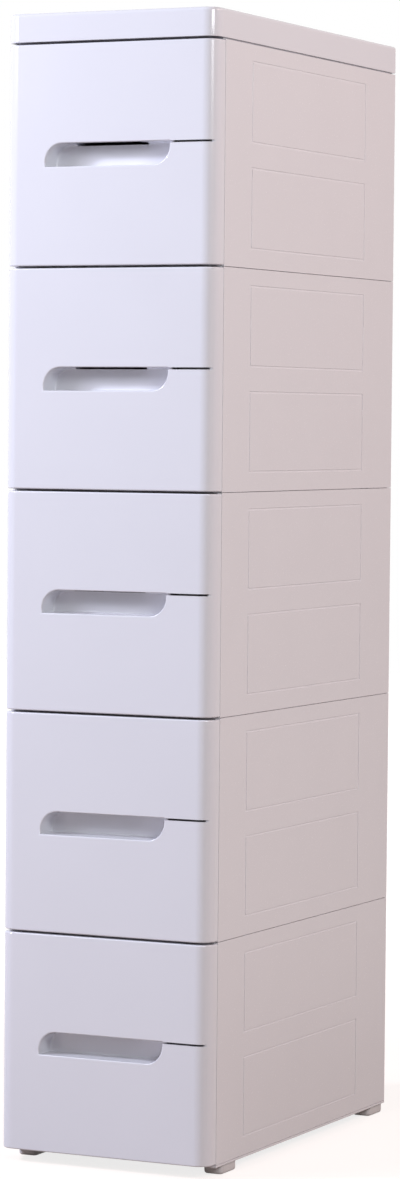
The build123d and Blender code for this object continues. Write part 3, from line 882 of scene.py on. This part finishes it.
class TOWER_OT_studio(bpy.types.Operator):
    """Camera, lamps, white surroundings and floor"""

    bl_idname = "tower.studio"
    bl_label = "Studio"

    def execute(self, context):
        studio = context.scene.tower_studio
        context.scene.view_settings.view_transform = "Standard"
        self.camera(studio)
        self.lamps(studio)
        self.surroundings()
        self.floor(studio)
        return {"FINISHED"}

    def camera(self, studio):
        """The photograph's point of view."""
        yaw, pitch, roll = studio.camera_yaw, studio.camera_pitch, studio.camera_roll
        forward = Vector((-math.sin(yaw) * math.cos(pitch),
                          math.cos(yaw) * math.cos(pitch), -math.sin(pitch)))
        right = Vector((math.cos(yaw), math.sin(yaw), 0))
        up = right.cross(forward)
        across = math.cos(roll) * right + math.sin(roll) * up
        upward = math.cos(roll) * up - math.sin(roll) * right
        turn = Matrix((across, upward, -forward)).transposed()
        data = bpy.data.cameras.new("camera")
        data.sensor_width = SENSOR_MM
        data.lens = studio.lens
        data.clip_end = VIEW_END
        camera = placed("camera", data)
        camera.matrix_world = Matrix.Translation(studio.camera_place) @ turn.to_4x4()
        bpy.context.scene.camera = camera

    def softbox(self, name, place, aim, width, height, watts, tint):
        """A rectangular lamp at a place, turned towards a point."""
        data = bpy.data.lights.new(name, "AREA")
        data.shape = "RECTANGLE"
        data.size = width
        data.size_y = height
        data.energy = watts
        data.color = tint
        lamp = placed(name, data)
        lamp.location = place
        aimed = Vector(aim) - Vector(place)
        lamp.rotation_euler = aimed.to_track_quat("-Z", "Y").to_euler()

    def lamps(self, studio):
        """A small key lamp that draws the shadows in the grips, and three soft lamps."""
        self.softbox("window_light", place=(-1.55, -1.24, 1.52), aim=(0, -0.19, 0.8),
                     width=0.2, height=0.2, watts=36, tint=studio.key_colour)
        self.softbox("front_light", place=(-1.19, -1.4, 1.4), aim=(0, -0.19, 0.9),
                     width=0.6, height=0.6, watts=12.8, tint=studio.front_colour)
        self.softbox("fill_light", place=(1.75, 0.3, 1.7), aim=(0.1, 0, 0.8),
                     width=1.3, height=0.9, watts=15.8, tint=studio.fill_colour)
        self.softbox("edge_light", place=(1.98, -1.67, 1.5), aim=(0.1, -0.19, 0.9),
                     width=0.9, height=0.6, watts=26, tint=studio.edge_colour)

    def surroundings(self):
        """White to the eye and in reflections, a soft pale light for the rest."""
        world = bpy.data.worlds.new("studio_white")
        bpy.context.scene.world = world
        world.use_nodes = True
        tree = world.node_tree
        light = add_node(tree, "ShaderNodeBackground", Color=AMBIENT_TINT,
                         Strength=AMBIENT_STRENGTH)
        white = add_node(tree, "ShaderNodeBackground", Color=WHITE, Strength=1.0)
        mix = add_node(tree, "ShaderNodeMixShader", {0: seen_rays(tree)})
        tree.links.new(light.outputs["Background"], mix.inputs[1])
        tree.links.new(white.outputs["Background"], mix.inputs[2])
        output = tree.nodes["World Output"]
        tree.links.new(mix.outputs["Shader"], output.inputs["Surface"])

    def floor(self, studio):
        """A pale floor that keeps the tower's shadow and fades to white."""
        bm = bmesh.new()
        bmesh.ops.create_grid(bm, x_segments=1, y_segments=1, size=FLOOR_HALF)
        piece = object_of(bm, "floor")
        material = bpy.data.materials.new("pale_matte_floor")
        material.use_nodes = True
        tree = material.node_tree
        shader = tree.nodes["Principled BSDF"]
        shader.inputs["Base Color"].default_value = (*studio.floor_colour, 1)
        shader.inputs["Roughness"].default_value = FLOOR_ROUGHNESS
        place = add_node(tree, "ShaderNodeTexCoord").outputs["Object"]
        away = add_node(tree, "ShaderNodeVectorMath", {0: place}, operation="LENGTH")
        fade = add_node(tree, "ShaderNodeMapRange", {"Value": away.outputs["Value"]},
                        From_Min=studio.floor_clear * FADE_START,
                        From_Max=studio.floor_clear, To_Min=FLOOR_GLOW)
        glow = add_node(tree, "ShaderNodeMath", {0: seen_rays(tree),
                                                 1: fade.outputs["Result"]},
                        operation="MULTIPLY")
        shader.inputs["Emission Color"].default_value = WHITE
        tree.links.new(glow.outputs["Value"], shader.inputs["Emission Strength"])
        paint(piece, material)


class TOWER_PT_panel(bpy.types.Panel):
    """Lists the tower's operators and settings in the sidebar."""

    bl_idname = "TOWER_PT_panel"
    bl_label = "Drawer Tower"
    bl_space_type = "VIEW_3D"
    bl_region_type = "UI"
    bl_category = "Drawer Tower"

    def draw(self, context):
        scene = context.scene
        for operator in OPERATORS:
            self.layout.operator(operator.bl_idname)
        for group in (scene.tower_sizes, scene.tower_finishes, scene.tower_studio):
            box = self.layout.box()
            for name in group.__annotations__:
                box.prop(group, name)


OPERATORS = (
    TOWER_OT_drawer_fronts,
    TOWER_OT_drawer_boxes,
    TOWER_OT_side_panels,
    TOWER_OT_back_panels,
    TOWER_OT_boards,
    TOWER_OT_cap,
    TOWER_OT_pads,
    TOWER_OT_studio,
)
GROUPS = {
    "tower_sizes": TowerSizes,
    "tower_finishes": TowerFinishes,
    "tower_studio": TowerStudio,
}


def register():
    for name, group in GROUPS.items():
        bpy.utils.register_class(group)
        setattr(bpy.types.Scene, name, bpy.props.PointerProperty(type=group))
    for operator in OPERATORS:
        bpy.utils.register_class(operator)
    bpy.utils.register_class(TOWER_PT_panel)


def unregister():
    bpy.utils.unregister_class(TOWER_PT_panel)
    for operator in reversed(OPERATORS):
        bpy.utils.unregister_class(operator)
    for name, group in GROUPS.items():
        delattr(bpy.types.Scene, name)
        bpy.utils.unregister_class(group)


def main():
    register()
    bpy.ops.tower.drawer_fronts()
    bpy.ops.tower.drawer_boxes()
    bpy.ops.tower.side_panels()
    bpy.ops.tower.back_panels()
    bpy.ops.tower.boards()
    bpy.ops.tower.cap()
    bpy.ops.tower.pads()
    bpy.ops.tower.studio()


if __name__ == "__main__":
    main()
